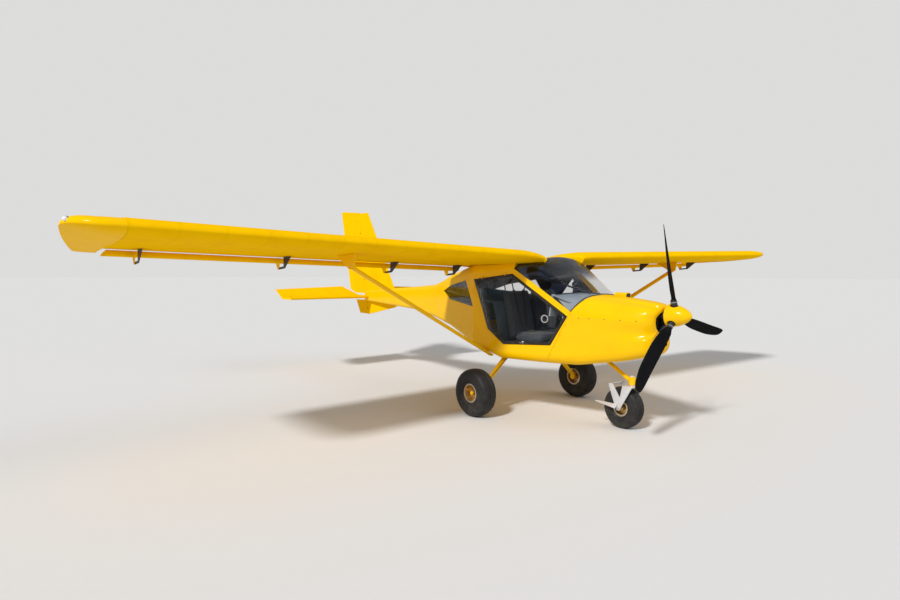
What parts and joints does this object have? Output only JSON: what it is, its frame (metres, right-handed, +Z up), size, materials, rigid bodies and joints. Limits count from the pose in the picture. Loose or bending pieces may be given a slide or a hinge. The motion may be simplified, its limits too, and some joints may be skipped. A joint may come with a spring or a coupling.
{
  "type": "microlight aircraft",
  "caption": "High-wing microlight aeroplane with side-by-side seats, strut-braced wings, a tricycle undercarriage and a nose propeller.",
  "frame": {"origin": "on the ground, at the middle of the aircraft's length and width", "axes": "+X forward to the propeller, +Y to port, +Z up"},
  "size_m": [6.484, 9.16, 2.5779],
  "materials": {
    "yellow_shell": "glossy yellow paint on composite shells",
    "yellow_fabric": "glossy yellow painted fabric over a light frame",
    "yellow_metal": "glossy yellow paint",
    "clear_pane": "clear tinted polycarbonate",
    "black_blade": "satin black composite",
    "black_frame": "satin black tube",
    "tyre": "worn black rubber",
    "gold_rim": "gold anodised with a pale edge",
    "bare_metal": "brushed sheet metal",
    "engine_metal": "dark cast engine",
    "grey_trim": "grey matt trim",
    "seat_cloth": "dark grey seat cloth",
    "white_whip": "white fibreglass",
    "steel": "machined steel"
  },
  "bodies": {
    "airframe": {"cabin_shell": "yellow_shell", "rear_fuselage": "yellow_shell", "rear_bulkhead": "grey_trim", "firewall": "bare_metal", "upper_cowl": "yellow_shell", "lower_cowl": "yellow_shell", "cowl_scoop": "yellow_shell", "engine": "engine_metal", "engine_mount": "black_frame", "windscreen": "clear_pane", "roof_glass": "clear_pane", "antenna": "white_whip", "rear_window_left": "clear_pane", "rear_window_right": "clear_pane", "cabin_frame": "black_frame", "seat_base": "grey_trim", "seat_cushion_left": "seat_cloth", "seat_cushion_right": "seat_cloth", "seat_back_left": "seat_cloth", "seat_back_right": "seat_cloth", "baggage_wall": "grey_trim", "instrument_panel": "grey_trim", "control_stick": "black_frame", "wing_left": "yellow_fabric", "wing_right": "yellow_fabric", "wing_tip_left": "yellow_shell", "wing_tip_right": "yellow_shell", "flaperon_brackets_left": "bare_metal", "flaperon_brackets_right": "bare_metal", "strut_left": "yellow_metal", "strut_right": "yellow_metal", "fin": "yellow_fabric", "ventral_fin": "yellow_fabric", "tailplane_left": "yellow_fabric", "tailplane_right": "yellow_fabric", "main_leg_left": "yellow_metal", "main_leg_right": "yellow_metal", "nose_leg": "yellow_metal"},
    "rudder": {"rudder": "yellow_fabric"},
    "elevator": {"elevator": "yellow_fabric"},
    "flaperon_left": {"flaperon_left": "yellow_fabric"},
    "flaperon_right": {"flaperon_right": "yellow_fabric"},
    "door_left": {"door_frame_left": "yellow_shell", "door_glass_left": "clear_pane"},
    "door_right": {"door_frame_right": "yellow_shell", "door_glass_right": "clear_pane"},
    "nose_fork": {"nose_fork": "bare_metal", "fork_plates": "bare_metal"},
    "nose_wheel": {"tyre_nose": "tyre", "wheel_nose": "gold_rim"},
    "main_wheel_left": {"tyre_left": "tyre", "wheel_left": "gold_rim"},
    "main_wheel_right": {"tyre_right": "tyre", "wheel_right": "gold_rim"},
    "propeller": {"propeller_hub": "steel", "propeller_blades": "black_blade", "spinner": "yellow_shell"}
  },
  "joints": [
    {"name": "propeller_spin", "type": "hinge", "parent": "airframe", "child": "propeller", "pos_m": [3.082, 0, 1.146], "axis": [1, 0, 0], "continuous": true},
    {"name": "main_wheel_left_spin", "type": "hinge", "parent": "airframe", "child": "main_wheel_left", "pos_m": [1.27, 0.841, 0.255], "axis": [0, 1, 0], "continuous": true},
    {"name": "main_wheel_right_spin", "type": "hinge", "parent": "airframe", "child": "main_wheel_right", "pos_m": [1.27, -0.841, 0.255], "axis": [0, 1, 0], "continuous": true},
    {"name": "nose_steering", "type": "hinge", "parent": "airframe", "child": "nose_fork", "pos_m": [2.636, 0, 0.43], "axis": [0, 0, 1], "range_deg": [-20, 20]},
    {"name": "nose_wheel_spin", "type": "hinge", "parent": "nose_fork", "child": "nose_wheel", "pos_m": [2.544, 0, 0.207], "axis": [0, 1, 0], "continuous": true},
    {"name": "rudder_turn", "type": "hinge", "parent": "airframe", "child": "rudder", "pos_m": [-2.358, 0, 0.862], "axis": [-0.1724, 0, 0.985], "range_deg": [-25, 25]},
    {"name": "elevator_turn", "type": "hinge", "parent": "airframe", "child": "elevator", "pos_m": [-2.508, 0, 1.15], "axis": [0, -1, 0], "range_deg": [-3, 45]},
    {"name": "flaperon_left_turn", "type": "hinge", "parent": "airframe", "child": "flaperon_left", "pos_m": [0.70749, 2.4, 1.55812], "axis": [-0.0453, -0.9986, -0.0279], "range_deg": [-20, 30]},
    {"name": "flaperon_right_turn", "type": "hinge", "parent": "airframe", "child": "flaperon_right", "pos_m": [0.70749, -2.4, 1.55812], "axis": [0.0453, -0.9986, 0.0279], "range_deg": [-20, 30]},
    {"name": "door_left_swing", "type": "hinge", "parent": "airframe", "child": "door_left", "pos_m": [1.24526, 0.58111, 1.492], "axis": [0.9704, -0.2086, 0.1218], "range_deg": [0, 85]},
    {"name": "door_right_swing", "type": "hinge", "parent": "airframe", "child": "door_right", "pos_m": [1.24526, -0.58111, 1.492], "axis": [-0.9704, -0.2086, -0.1218], "range_deg": [0, 85]}
  ],
  "couplings": [
    {"joint": "rudder_turn", "follows": "nose_steering", "ratio": -1.25}
  ]
}
